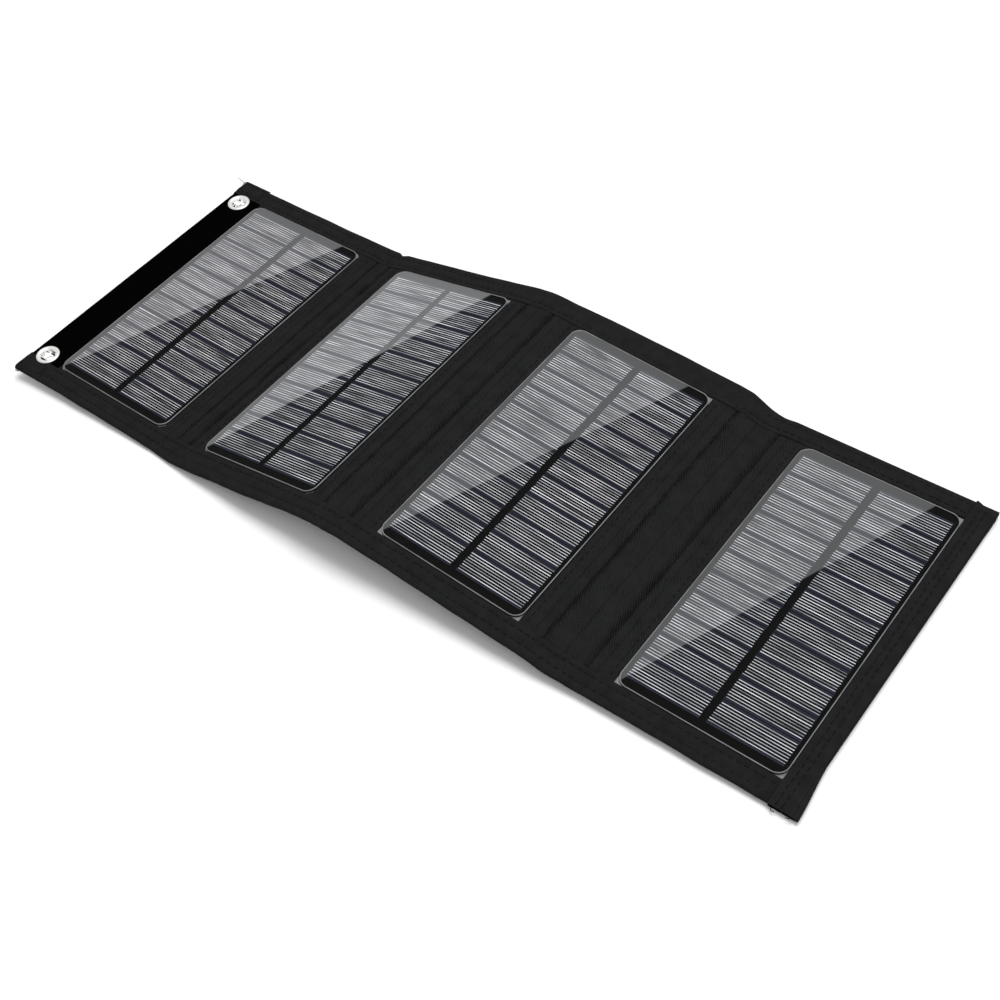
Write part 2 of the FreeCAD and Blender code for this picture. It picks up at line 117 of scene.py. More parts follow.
def read_sections():
    joints = {joint["name"]: Vector(joint["pos_m"]) for joint in frame["joints"]}
    order = ("fold_1_outer", "fold_1", "fold_2_outer", "fold_2", "fold_3", "fold_3_outer")
    creases = [joints[name] for name in order]
    first = face_direction("module_backsheet_1")
    last = face_direction("module_backsheet_4")
    left = span("front_cover_1", Section("probe", creases[0], creases[0] + first))[0][0]
    right = span("front_cover_4", Section("probe", creases[-1], creases[-1] + last))[1][0]
    ends = [creases[0] + first * left] + creases + [creases[-1] + last * right]
    names = ("panel_1", "spine_1", "panel_2", "spine_2", "panel_3", "spine_3", "panel_4")
    sections, distance = [], 0.0
    for name, start, end in zip(names, ends, ends[1:]):
        sections.append(Section(name, start, end))
        sections[-1].first = distance
        distance += sections[-1].length
    return sections


SECTIONS = read_sections()
BY_NAME = {section.name: section for section in SECTIONS}
CREASES = [section.first for section in SECTIONS[1:]]
FOLD_SIDES = [1, -1] * 3  # on which side of each crease its spine lies
STRIP = SECTIONS[-1].first + SECTIONS[-1].length
BEND = 2.2 * MM  # half the length over which a crease turns


def strip_frame(u):
    """Point on the fold plane, and its normal; creases bend smoothly."""
    for before, after in zip(SECTIONS, SECTIONS[1:]):
        t = (u - after.first + BEND) / (2 * BEND)
        if 0 < t < 1:
            a = after.start - before.along * BEND
            c = after.start + after.along * BEND
            point = a * (1 - t) ** 2 + after.start * (2 * t * (1 - t)) + c * t ** 2
            along = lerp(before.along, after.along, t).normalized()
            return point, along.cross(ACROSS).normalized()
    section = next((item for item in reversed(SECTIONS) if item.first <= u), SECTIONS[0])
    return section.start + section.along * (u - section.first), section.normal


SAGS = [
    # (crease the sag starts from, offset, half length, inner across, outer across, depth), millimetres
    (5, 13.0, 12.0, 34.0, 78.0, -1.7),
    (5, 9.0, 9.0, -50.0, -80.0, -0.7),
    (1, 5.0, 8.0, 44.0, 80.0, -0.4),
    (3, 9.0, 9.0, 52.0, 80.0, 0.6),
]


def sag(u, v):
    """Soft buckles of the fabric between the panels, strongest at the long edges."""
    total = 0.0
    for crease, offset, reach, inner, outer, depth in SAGS:
        t = (u - CREASES[crease - 1] - offset * MM) / (reach * MM)
        if abs(t) < 1 and v * outer > 0:
            growth = smooth_step(abs(v), abs(inner) * MM, abs(outer) * MM)
            total += depth * MM * (1 - t * t) ** 2 * growth
    return total


def strip_point(u, v, height):
    point, normal = strip_frame(u)
    return point + ACROSS * v + normal * (height + sag(u, v))


# ---- zones: what follows which body

CREASE_REACH = 4.5 * MM


class Zone:
    """A length of fabric: it rides on one section or bends where two sections meet."""

    def __init__(self, name, low, high, *sections):
        self.name = name
        self.low = low
        self.high = high
        self.sections = sections
        self.on_panel = len(sections) == 1
        spines = [section.name for section in sections if section.name.startswith("spine")]
        self.cad_name = (spines or [name])[0]

    def inset(self, margin):
        """The zone's limits, held back from the two ends of the strip."""
        return max(self.low, margin), min(self.high, STRIP - margin)

    def hold(self, piece):
        """Attaches a finished piece to its panel's body; a piece on a crease only has its transform baked
        in and follows no body.
        """
        if self.on_panel:
            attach(piece, self.name)
            return
        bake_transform(piece)


def make_zones():
    zones, low = [], 0.0
    for index in (0, 2, 4):
        panel, spine, following = SECTIONS[index:index + 3]
        near, far = spine.first - CREASE_REACH, following.first + CREASE_REACH
        middle = (spine.first + following.first) / 2
        zones += [Zone(panel.name, low, near, panel),
                  Zone(f"crease_{index + 1}", near, middle, panel, spine),
                  Zone(f"crease_{index + 2}", middle, far, spine, following)]
        low = far
    return zones + [Zone("panel_4", low, STRIP, SECTIONS[-1])]


ZONES = make_zones()


def zone_of(u):
    inside = (zone for zone in ZONES if zone.low <= u < zone.high)
    return next(inside, ZONES[-1] if u > STRIP / 2 else ZONES[0])


def hand_over(piece, slot, body, *nodes):
    """Hides the given CAD nodes and makes a finished piece follow its body or zone; the slot argument is
    not used.
    """
    for node in nodes:
        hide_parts(node)
    if isinstance(body, Zone):
        body.hold(piece)
    else:
        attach(piece, body)


# ---- mesh helpers

def make_object(name, points, faces, material, uvs=None, smooth=True):
    mesh = bpy.data.meshes.new(name)
    mesh.from_pydata([tuple(p) for p in points], [], faces)
    mesh.validate()
    if uvs is not None:
        layer = mesh.uv_layers.new(name="cloth")
        index = np.zeros(len(mesh.loops), dtype=np.int64)
        mesh.loops.foreach_get("vertex_index", index)
        layer.data.foreach_set("uv", np.asarray(uvs, dtype=np.float32)[index].ravel())
    mesh.polygons.foreach_set("use_smooth", [smooth] * len(mesh.polygons))
    mesh.materials.append(material)
    piece = bpy.data.objects.new(name, mesh)
    bpy.context.scene.collection.objects.link(piece)
    return piece


def make_solid(*values, **settings):
    """make_object for a closed piece: all its faces are turned outwards."""
    piece = make_object(*values, **settings)
    work = bmesh.new()
    work.from_mesh(piece.data)
    bmesh.ops.recalc_face_normals(work, faces=work.faces)
    work.to_mesh(piece.data)
    work.free()
    piece.data.update()
    return piece


def ring_faces(count, size, first=0, closed=False):
    """Quads between rings of points; an open row of rings gets a cap at both ends."""
    faces = []
    for i in range(count if closed else count - 1):
        a, b = first + i * size, first + (i + 1) % count * size
        faces += [(a + j, a + (j + 1) % size, b + (j + 1) % size, b + j) for j in range(size)]
    if not closed:
        last = first + (count - 1) * size
        faces += [tuple(reversed(range(first, first + size))), tuple(range(last, last + size))]
    return faces


def steps(low, high, spacing, extra=()):
    """Evenly spaced values from low to high; extra values take the place of those close to them."""
    count = max(2, int(round((high - low) / spacing)) + 1)
    wanted = [value for value in extra if low < value < high]
    even = np.linspace(low, high, count)
    spare = [value for value in even[1:-1] if all(abs(value - other) > spacing * 0.4 for other in wanted)]
    return sorted({round(float(value), 7) for value in [low, high] + spare + wanted})


def sheet(name, us, vs, top, thickness, material, skip=None):
    """A closed sheet of cloth over a grid; skip(u, v) leaves cells out."""
    rows, columns = len(us), len(vs)
    upper, lower, uvs = [], [], []
    for u in us:
        base, normal = strip_frame(u)
        for v in vs:
            height = top(u, v) + sag(u, v)
            upper.append(base + ACROSS * v + normal * height)
            lower.append(upper[-1] - normal * thickness)
            uvs.append((u * PER_CM, v * PER_CM))
    cells = [(i, j) for i in range(rows - 1) for j in range(columns - 1)]
    if skip:
        cells = [(i, j) for i, j in cells
                 if not skip(sum(us[i:i + 2]) / 2, sum(vs[j:j + 2]) / 2)]
    kept = set(cells)
    faces = []
    down = rows * columns
    for i, j in cells:
        a, b = i * columns + j, (i + 1) * columns + j
        faces += [(a, b, b + 1, a + 1), (down + a, down + a + 1, down + b + 1, down + b)]
        sides = [(i, j - 1, a, b), (i + 1, j, b, b + 1), (i, j + 1, b + 1, a + 1), (i - 1, j, a + 1, a)]
        faces += [(p, down + p, down + q, q) for ni, nj, p, q in sides if (ni, nj) not in kept]
    used = sorted({index for face in faces for index in face})
    new = {index: order for order, index in enumerate(used)}
    points, doubled = upper + lower, uvs + uvs
    return make_object(name, [points[index] for index in used],
                       [tuple(new[index] for index in face) for face in faces], material,
                       [doubled[index] for index in used])


def sweep(name, us, profile_at, material):
    """Sweeps a closed cross-section of (v, height) points along the strip and caps its ends."""
    points, uvs = [], []
    for u in us:
        profile = profile_at(u)
        length, last = 0.0, profile[0]
        for v, height in profile:
            length += math.hypot(v - last[0], height - last[1])
            last = (v, height)
            points.append(strip_point(u, v, height))
            uvs.append((u * PER_CM, length * PER_CM))
    return make_solid(name, points, ring_faces(len(us), len(profile)), material, uvs)


def join_named(name, parts):
    """Joins mesh objects into one."""
    work = bmesh.new()
    for part in parts:
        work.from_mesh(part.data)
    keeper = parts[0]
    work.to_mesh(keeper.data)
    work.free()
    for part in parts[1:]:
        bpy.data.objects.remove(part)
    keeper.name = keeper.data.name = name
    return keeper


# ---- materials

class Nodes:
    """Short-hand for building one node material."""

    def __init__(self, name):
        self.material = bpy.data.materials.new(name)
        self.material.use_nodes = True
        self.tree = self.material.node_tree
        self.tree.nodes.clear()

    def add(self, kind, output, values=None, **settings):
        """Adds a node and returns one of its outputs; a value that is a socket gets linked."""
        item = self.tree.nodes.new("ShaderNode" + kind)
        for key, value in settings.items():
            setattr(item, key, value)
        for key, value in (values or {}).items():
            if hasattr(value, "is_output"):
                self.tree.links.new(value, item.inputs[key])
            else:
                item.inputs[key].default_value = value
        return item.outputs[output]

    def math(self, operation, *values):
        return self.add("Math", 0, dict(enumerate(values)), operation=operation)

    def scaled(self, value, scale, offset):
        return self.math("MULTIPLY_ADD", value, scale, offset)

    def mix(self, factor, a, b):
        return self.add("Mix", 2, {0: factor, 6: a, 7: b}, data_type="RGBA")

    def ramp(self, source, low, high, top=1.0):
        """Rises from 0 where the source is low to top where it is high."""
        return self.add("MapRange", 0, {0: source, 1: low, 2: high, 3: 0.0, 4: top})

    def band(self, source, period):
        """A sine of the given period, from 0 to 1."""
        turn = self.math("MULTIPLY", source, math.tau / period)
        return self.scaled(self.math("SINE", turn), 0.5, 0.5)

    def place(self):
        return self.add("TexCoord", "Object")

    def cloth_place(self):
        return self.add("UVMap", 0, uv_map="cloth")

    def part(self, vector, axis):
        return self.add("SeparateXYZ", axis, {0: vector})

    def noise(self, vector, scale, detail=2.0):
        return self.add("TexNoise", "Fac", {"Vector": vector, "Scale": scale, "Detail": detail})

    def stretched(self, vector, scale):
        return self.add("Mapping", 0, {"Vector": vector, "Scale": scale})

    def bump(self, height, strength, depth, normal=None):
        values = {"Height": height, "Strength": strength, "Distance": depth}
        if normal is not None:
            values["Normal"] = normal
        return self.add("Bump", 0, values)

    def finish(self, shader):
        output = self.tree.nodes.new("ShaderNodeOutputMaterial")
        self.tree.links.new(shader, output.inputs["Surface"])
        return self.material

    def principled(self, colour, roughness, specular, normal=None, **more):
        values = {"Base Color": colour, "Roughness": roughness, "Specular IOR Level": specular, **more}
        if normal is not None:
            values["Normal"] = normal
        return self.finish(self.add("BsdfPrincipled", 0, values))


COOL = (0.98, 1.0, 1.05)
CLOTH_SPECULAR = 0.02


def grey(level, tint=(1, 1, 1)):
    return (level * tint[0], level * tint[1], level * tint[2], 1)


def dimmed(colour, share):
    return tuple(channel * share for channel in colour[:3]) + (1,)


def woven(n, tone, darks, lights, weave, relief, fuzz, roughness, sheen_roughness):
    """Ends a textile material: its weave and fuzz stand out in relief, with a faint sheen."""
    colour = n.mix(tone, grey(darks), grey(lights, COOL))
    normal = n.bump(fuzz, 0.4, 0.30 * MM, n.bump(weave, *relief))
    sheen = {"Sheen Weight": 0.01, "Sheen Roughness": sheen_roughness, "Sheen Tint": grey(0.5)}
    return n.principled(colour, roughness, CLOTH_SPECULAR, normal, **sheen)


def crease_shade(n, along, across):
    """Painted shade along the creases: darker lines beside each crease, from cloth coordinates in
    centimetres.
    """
    drift = n.noise(n.add("CombineXYZ", 0, {0: 3.0, 1: across}), 0.9)
    wander = n.scaled(drift, 0.16, -0.08)
    total = 0.0
    for crease, side in zip(CREASES, FOLD_SIDES):
        offset = n.math("SUBTRACT", n.math("SUBTRACT", along, crease * PER_CM), wander)
        offset = n.math("MULTIPLY", offset, side)
        inner = n.scaled(offset, -1 / 0.30, 1.0)
        outer = n.scaled(offset, 1 / 0.10, 1.0)
        total = n.math("ADD", total, n.math("MAXIMUM", n.math("MINIMUM", inner, outer), 0.0))
    return n.math("MULTIPLY", total, n.scaled(drift, 0.8, 0.2))


def cloth(name, level, pitch, slant, creased=False):
    """Woven black cloth: threads of the given pitch in centimetres, twilled by the slant."""
    n = Nodes(name)
    uv = n.cloth_place()
    along, across = n.part(uv, 0), n.part(uv, 1)
    shift = n.math("MULTIPLY", n.noise(uv, 9.0), pitch * 0.9)
    u = n.math("ADD", along, shift)
    v = n.math("ADD", across, shift)
    twill = n.band(n.scaled(v, slant, u), pitch)
    cross = n.band(n.scaled(u, -0.15, v), pitch * 0.8)
    weave = n.scaled(twill, 0.7, n.math("MULTIPLY", cross, 0.3))
    fuzz = n.noise(uv, 34.0, 3.0)
    lint = n.ramp(n.noise(uv, 19.0, 1.0), 0.76, 0.80, 1.2)
    tone = n.math("ADD", weave, n.scaled(n.noise(uv, 1.3, 3.0), 1.1, -0.45))
    tone = n.math("ADD", lint, n.scaled(fuzz, 0.6, tone))
    # painted shade: the front cloth darkens beside each crease
    if creased:
        tone = n.scaled(crease_shade(n, along, across), -0.9, tone)
    tone = n.math("MINIMUM", tone, 1.4)
    rough = n.scaled(fuzz, 0.2, 0.68)
    return woven(n, tone, level * 0.2, level * 1.5, weave, (0.8, 0.22 * MM), fuzz, rough, 0.45)


def ribbed_tape(name, level, rib):
    """Binding tape: fine ribs across its length, a faint fuzz and a lighter outer edge where the surface is
    most convex.
    """
    n = Nodes(name)
    uv = n.cloth_place()
    along, across = n.part(uv, 0), n.part(uv, 1)
    ribs = n.band(along, rib)
    cross = n.band(across, rib * 0.6)
    fuzz = n.noise(uv, 36.0, 3.0)
    weave = n.scaled(ribs, 0.65, n.math("MULTIPLY", cross, 0.35))
    tone = n.scaled(n.noise(uv, 2.0, 3.0), 0.7, n.math("MULTIPLY", weave, 0.6))
    tone = n.math("SUBTRACT", n.scaled(fuzz, 0.8, tone), 0.4)
    # lighter where the surface is convex, which lifts the turned outer edge
    lighter_where_convex = n.ramp(n.add("NewGeometry", "Pointiness"), 0.52, 0.62, 0.25)
    tone = n.math("ADD", tone, lighter_where_convex)
    return woven(n, tone, level * 0.25, level * 1.5, weave, (0.6, 0.16 * MM), fuzz, 0.8, 0.5)


def pile_material():
    """Deep black looped pile that swallows the light."""
    n = Nodes("pile_band")
    loops = n.add("TexVoronoi", "Distance", {"Vector": n.cloth_place(), "Scale": 22.0})
    return n.principled(n.mix(loops, grey(0.0006), grey(0.0016)), 1.0, 0.0, n.bump(loops, 0.6, 0.3 * MM))


def thread_material():
    n = Nodes("black_thread")
    twist = n.noise(n.place(), 4000.0)
    return n.principled(n.mix(twist, grey(0.004), grey(0.013)), 0.7, 0.04, n.bump(twist, 0.4, 0.1 * MM))


def plastic(name, colour, roughness, specular=0.35):
    """Moulded plastic with a fine grain and slightly uneven gloss."""
    n = Nodes(name)
    place = n.place()
    broad = n.noise(place, 60.0, 3.0)
    rough = n.scaled(broad, 0.15, roughness)
    grain = n.bump(n.noise(place, 3000.0), 0.2, 0.08 * MM)
    return n.principled(n.mix(broad, dimmed(colour, 0.8), colour), rough, specular, grain)


def metal(name, colour, roughness, brushed, metallic=1.0):
    """Stained metal; a brushed value above one makes its marks finer along one axis."""
    n = Nodes(name)
    place = n.place()
    marks = n.noise(n.stretched(place, (1, brushed, 1)), 900.0, 3.0)
    stained = n.mix(n.noise(place, 160.0, 3.0), dimmed(colour, 0.88), colour)
    rough = n.scaled(marks, 0.12, roughness)
    return n.principled(stained, rough, 0.5, n.bump(marks, 0.08, 0.05 * MM), Metallic=metallic)


CELL_PITCH = 12 * MM
FINGER_ZONE = 5.1 * MM  # half width of the printed part of a cell


def silicon_material():
    """Dark cell face: near black between the printed fingers, blue-black where a cell carries none."""
    n = Nodes("solar_cell")
    place = n.place()
    reach = n.math("ABSOLUTE", n.math("WRAP", n.part(place, 1), CELL_PITCH / 2, -CELL_PITCH / 2))
    bare = n.ramp(reach, FINGER_ZONE - 0.4 * MM, FINGER_ZONE + 0.3 * MM)
    cloudy = n.noise(place, 70.0, 3.0)
    blue = n.mix(cloudy, (0.007, 0.007, 0.015, 1), (0.024, 0.024, 0.040, 1))
    dark = n.mix(cloudy, (0.0010, 0.0010, 0.0020, 1), (0.004, 0.004, 0.0065, 1))
    return n.principled(n.mix(bare, dark, blue), 0.4, 0.05)


def finger_material():
    """Printed silver lines whose brightness drifts from line to line."""
    n = Nodes("silver_finger")
    lines = n.noise(n.stretched(n.place(), (0.07, 1.0, 0.0)), 700.0, 1.0)
    bright = n.ramp(lines, 0.28, 0.70)
    return n.principled(n.mix(bright, (0.09, 0.09, 0.10, 1), (0.84, 0.84, 0.88, 1)), 0.5, 0.2)


# painted reflection on the clear layers: softbox glare strength, faint painted sheen elsewhere, cap on the
# Fresnel share, blur of the glare's edge
GLARE_LIGHT = 2.3
SHEEN_LIGHT = 0.04
GLARE_LIMIT = 0.12
EDGE_BLUR = (-0.0004, 0.0006)


def clear_material(name, edge_normal):
    """Clear layer whose gloss is painted: emission stands in for a long softbox reflected on one side of a
    straight edge.

    edge_normal is the normal of the plane that holds the softbox edge and the viewpoint's mirror image,
    so the reflected direction tells which side of the edge is seen.
    """
    n = Nodes(name)
    seen = {0: n.add("TexCoord", "Reflection"), 1: tuple(edge_normal)}
    lit = n.ramp(n.add("VectorMath", "Value", seen, operation="DOT_PRODUCT"), *EDGE_BLUR)
    front = n.math("SUBTRACT", 1.0, n.add("NewGeometry", "Backfacing"))
    fresnel = n.math("MINIMUM", n.add("Fresnel", 0, {"IOR": 1.5}), GLARE_LIMIT)
    # painted reflection: emission, not a mirror, gives the softbox glare on the lit side and a faint
    # painted sheen everywhere
    light = n.scaled(lit, GLARE_LIGHT, SHEEN_LIGHT)
    uneven = n.scaled(n.noise(n.place(), 18.0), 0.12, 0.94)
    strength = n.math("MULTIPLY", n.math("MULTIPLY", light, n.math("MULTIPLY", fresnel, front)), uneven)
    painted_reflection = n.add("Emission", 0, {"Color": (0.97, 0.98, 1.0, 1), "Strength": strength})
    see_through = n.add("BsdfTransparent", 0, {"Color": (0.97, 0.98, 0.98, 1)})
    return n.finish(n.add("AddShader", 0, {0: see_through, 1: painted_reflection}))


def rim_and_highlight_material():
    """Milky moulded edge of the clear layer; its light grey is partly a painted edge highlight."""
    n = Nodes("clear_rim")
    cloudy = n.noise(n.place(), 120.0, 3.0)
    # light grey partly painted: it stands in for the highlight along the clear layer's edge
    return n.principled(n.mix(cloudy, grey(0.05), (0.34, 0.34, 0.35, 1)), 0.3, 0.35)


FABRIC = cloth("cover_fabric", 0.0113, 0.105, 0.55, creased=True)
BACK_FABRIC = cloth("back_fabric", 0.0122, 0.11, 1.0)
SLEEVE = cloth("sleeve_fabric", 0.0122, 0.11, 1.0)
TAPE = ribbed_tape("hem_fabric", 0.0125, 0.09)
BINDING = ribbed_tape("binding_tape", 0.0128, 0.09)
PILE = pile_material()
THREAD = thread_material()
NICKEL = metal("nickel", (0.97, 0.955, 0.935, 1), 0.30, 1.0, 0.6)
SILICON = silicon_material()
FINGERS = finger_material()
RIM_AND_HIGHLIGHT = rim_and_highlight_material()


# ---- camera, needed by the glare

CAMERA_TURNS = ((45.64, "Z"), (90 - 49.0, "X"), (-10.39, "Z"))  # azimuth, height and roll, in degrees
CAMERA_LENS = 51.03
CAMERA_PLACE = Vector((0.31950, -0.29633, 0.45593))


def make_camera():
    data = bpy.data.cameras.new("camera")
    data.lens = CAMERA_LENS
    data.sensor_width = 36
    data.clip_start = 0.01
    camera = bpy.data.objects.new("camera", data)
    placed = Matrix.Translation(CAMERA_PLACE)
    for degrees, axis in CAMERA_TURNS:
        placed @= Matrix.Rotation(math.radians(degrees), 4, axis)
    camera.matrix_world = placed
    bpy.context.scene.collection.objects.link(camera)
    bpy.context.scene.camera = camera


# ---- sizes read from the CAD nodes

CLOTH = 0.55 * MM
WINDOW_GAP = 0.25 * MM
HEM_INNER = 70.5 * MM
HEM_OUTER, HEM_TOP = span("edge_hems_panel_2", BY_NAME["panel_2"])[1][1:]
COVER_TOP = span("front_cover_2", BY_NAME["panel_2"])[1][2]


class Module:
    """A solar module: its box in section coordinates and its window's edges along the strip."""

    def __init__(self, number):
        self.number = number
        self.section = BY_NAME[f"panel_{number}"]
        low, high = span(f"module_clear_layer_{number}", self.section)
        self.left, self.right = low[0], high[0]
        self.half, self.top = high[1:]
        self.low = self.section.first + self.left - WINDOW_GAP
        self.high = self.section.first + self.right + WINDOW_GAP


MODULES = [Module(number) for number in range(1, 5)]
WINDOW_HALF = MODULES[0].half + WINDOW_GAP

FLANGE = 6.2 * MM
EYELET_HOLE = 3.7 * MM
EYELET_LOW, EYELET_HIGH = span("eyelet_fronts", BY_NAME["panel_1"])
EYELET_AT = EYELET_LOW[0] + FLANGE
EYELET_ROWS = (EYELET_LOW[1] + FLANGE, EYELET_HIGH[1] - FLANGE)


def eyelet_distance(u, v):
    """Distance from the axis of the nearer eyelet."""
    return min(math.hypot(u - EYELET_AT, v - row) for row in EYELET_ROWS)


def in_eyelet(u, v, radius=EYELET_HOLE):
    return eyelet_distance(u, v) < radius


def glare_normal(module):
    """Plane through the camera's mirror image and the softbox edge as it falls on this module."""
    def on_top(along, across):
        return module.section.point(module.left + along * MM, across, module.top)

    away = (CAMERA_PLACE - on_top(0, 0)).dot(module.section.normal)
    mirrored = CAMERA_PLACE - module.section.normal * (2 * away)
    low, high = on_top(2.5, -module.half + 3.5 * MM), on_top(60, module.half)
    normal = (low - mirrored).cross(high - mirrored).normalized()
    return normal if normal.dot(on_top(0, module.half) - mirrored) > 0 else -normal


# ---- surfaces of the covers

TURNED_EDGE = 1.6 * MM
TUCK = 0.10 * MM
SIDE_STITCH = 2.8 * MM
WRINKLES = [
    # (crease, offset, across) at both ends, then width and height, of a few soft folds, millimetres
    ((1, -7, 40), (2, 4, -28), 1.8, 0.608),
    ((2, 1, 66), (1, 2, 10), 1.5, 0.480),
    ((3, -3, 52), (4, -2, -50), 2.2, 0.416),
    ((4, 3, 70), (4, 8, 20), 1.6, 0.384),
    ((5, 5, 60), (6, -6, -35), 2.4, 0.480),
    ((5, 12, 69), (6, -4, 30), 1.6, 0.400),
    ((6, 4, 10), (6, 7, -66), 1.7, 0.384),
]


def ripple(u, v, seed):
    """Slow unevenness of cloth laid over a flat core."""
    broad = rumple(u * 38, v * 14, seed)
    small = rumple(u * 120, v * 45, seed + 5)
    return 0.16 * MM * broad + 0.07 * MM * small


def wrinkle_height(u, v):
    total = 0.0
    for *ends, width, height in WRINKLES:
        (u0, v0), (u1, v1) = ((CREASES[crease - 1] + along * MM, over * MM) for crease, along, over in ends)
        du, dv = u1 - u0, v1 - v0
        length = math.hypot(du, dv)
        t = ((u - u0) * du + (v - v0) * dv) / length ** 2
        if -0.1 < t < 1.1:
            off = abs((u - u0) * dv - (v - v0) * du) / length
            off += 0.8 * MM * math.sin(t * 9 + v0 * 90)
            fade = math.sin(math.pi * clamp((t + 0.1) / 1.2)) ** 0.7
            total -= fade * groove(off, width * MM, height * MM)
    return total


def crease_dip(u, depth=0.40 * MM):
    """A narrow pressed line in a broad shallow valley at every crease."""
    near = (u - crease for crease in CREASES if abs(u - crease) < 12 * MM)
    return sum(groove(off, 0.8 * MM, depth) + groove(off, 4 * MM, 0.22 * MM) for off in near)


def pleat(u, v):
    """Height of the soft fold beside every crease, which wanders and fades along its length."""
    total = 0.0
    for index, (crease, side) in enumerate(zip(CREASES, FOLD_SIDES)):
        offset = side * (u - crease)
        if -2 * MM < offset < 9 * MM:
            centre = (2.6 + 0.9 * rumple(index * 3.7, v * 16, 51)) * MM
            height = (0.52 + 0.30 * rumple(index * 2.3, v * 22, 57)) * MM
            width = 0.9 * MM if offset < centre else 1.9 * MM
            total -= groove(offset - centre, width, height)
    return total


def front_height(u, v):
    """Top of the front cover above the fold plane."""
    height = COVER_TOP + ripple(u, v, 1.0) + crease_dip(u)
    inside = abs(v)
    beside = min(max(module.low - u, u - module.high) for module in MODULES)
    if beside < 6 * MM:
        if beside > 0:
            height += groove(beside - SIDE_STITCH, 0.55 * MM, 0.16 * MM)
        outside = math.hypot(max(beside, 0), max(inside - WINDOW_HALF, 0))
        height -= groove(outside, TURNED_EDGE, 0.18 * MM)
    else:
        height += wrinkle_height(u, v) + pleat(u, v)
    under_hem = inside - HEM_INNER + 1.5 * MM
    if under_hem > 0:
        height = lerp(height, COVER_TOP - TUCK + 0.3 * crease_dip(u), min(under_hem / (3 * MM), 1))
    return height


def back_height(u, v):
    """Top of the back cover; its outer face is one cloth thickness below."""
    return -COVER_TOP + CLOTH - ripple(u, v, 11.0) - crease_dip(u, 0.3 * MM)


def no_cloth(u, v):
    """Where the front cover has its windows and eyelet holes."""
    windows = any(module.low < u < module.high for module in MODULES)
    return windows and abs(v) < WINDOW_HALF or in_eyelet(u, v)


# ---- covers

EDGE_HALF = 80.4 * MM
FRONT_STEP = 1.15 * MM
BACK_STEP = 2.0 * MM
FILLED_CORNERS = {1: ((1, 1), (1, -1), (-1, 1), (-1, -1)), 2: ((1, -1), (-1, 1), (-1, -1)),
                  3: ((-1, 1),), 4: ((-1, 1),)}
FILL_LEG = 3.2 * MM
FILL_OUT = 0.5 * MM


def cover_grid(zone, spacing):
    """Grid lines of a cover, with lines on the window's edges and close lines at a crease."""
    extra = [edge for module in MODULES for edge in (module.low, module.high)]
    if not zone.on_panel:
        extra += [zone.sections[1].first + half_step * 0.5 * MM for half_step in range(-3, 4)]
    edges = (-WINDOW_HALF, WINDOW_HALF, -HEM_INNER, HEM_INNER)
    return steps(*zone.inset(0.3 * MM), spacing, extra), steps(-EDGE_HALF, EDGE_HALF, spacing * 1.5, edges)


def corner_tucks(module):
    """Small folded triangles of cover fabric that close the window's corners beside the module."""
    points, faces, uvs = [], [], []
    for side_u, side_v in FILLED_CORNERS[module.number]:
        u = (module.high if side_u > 0 else module.low) + side_u * FILL_OUT
        v = side_v * (WINDOW_HALF + FILL_OUT)
        faces += ring_faces(2, 3, len(points))
        for height in (COVER_TOP - 0.02 * MM, COVER_TOP - 0.45 * MM):
            for du, dv in ((0, 0), (-side_u * FILL_LEG, 0), (0, -side_v * FILL_LEG)):
                points.append(strip_point(u + du, v + dv, height))
                uvs.append(((u + du) * PER_CM, (v + dv) * PER_CM))
    return make_solid("tuck", points, faces, FABRIC, uvs, smooth=False)


def make_covers():
    for zone in ZONES:
        grid = cover_grid(zone, FRONT_STEP)
        front = sheet(f"front_{zone.name}", *grid, front_height, CLOTH, FABRIC, zone.on_panel and no_cloth)
        back = sheet(f"back_{zone.name}", *cover_grid(zone, BACK_STEP), back_height, CLOTH, BACK_FABRIC,
                     zone.on_panel and in_eyelet)
        names = [f"spine_fabric_{zone.cad_name[-1]}"] * 2
        if zone.on_panel:
            number = int(zone.name[-1])
            front = join_named(front.name, [front, corner_tucks(MODULES[number - 1])])
            names = [f"front_cover_{number}", f"back_cover_{number}"]
        hand_over(front, "cover_fabric", zone, names[0])
        hand_over(back, "back_fabric", zone, names[1])


# ---- hems and wires

HEM_ROWS = (2.6 * MM, 7.4 * MM)
HEM_STATIONS = [0, 0.4, 1.2, 1.9, 2.6, 3.3, 4.2, 5.2, 6.2, 6.8, 7.4, 8.0, 8.7]
TURN_STEPS = 8
EDGE_WANDER = {
    # u and how far the outer edge stands out there, in millimetres
    1: [(0, 0), (70, 0.2), (98, 0.6), (108, 0.7), (111, -0.9), (115, 0.3), (170, 0.3), (206, 1.3),
        (214, 1.0), (222, 0.9), (240, 2.0), (280, 2.6), (308, 2.5), (314, 2.2), (326, 0.3), (334, -0.9),
        (360, -1.1), (418, -1.1), (428, -4.0)],
    -1: [(0, 1.0), (30, 0.1), (95, 0.2), (108, 1.5), (120, 1.5), (160, 1.2), (185, 0.2), (260, 0.1),
         (320, 0.5), (340, -0.2), (400, -0.6), (415, -0.6), (430, -1.2)],
}


def stitch_dips(inward, rows, depth):
    return sum(groove(inward - row, 0.7 * MM, depth) for row in rows)


def hem_surface(inward, u):
    """Height of a hem's front face, by distance from its inner edge: pillows between the stitch rows."""
    soft = 0.18 * MM * rumple(u * 55, inward * 160, 3)
    return HEM_TOP - 0.05 * MM + soft + stitch_dips(inward, HEM_ROWS, 0.30 * MM) + 0.6 * crease_dip(u)


def edge_wander(u, side):
    at, shift = zip(*EDGE_WANDER[side])
    return (float(np.interp(u / MM, at, shift)) + 0.3 * rumple(u * 60, side * 4, 9)) * MM


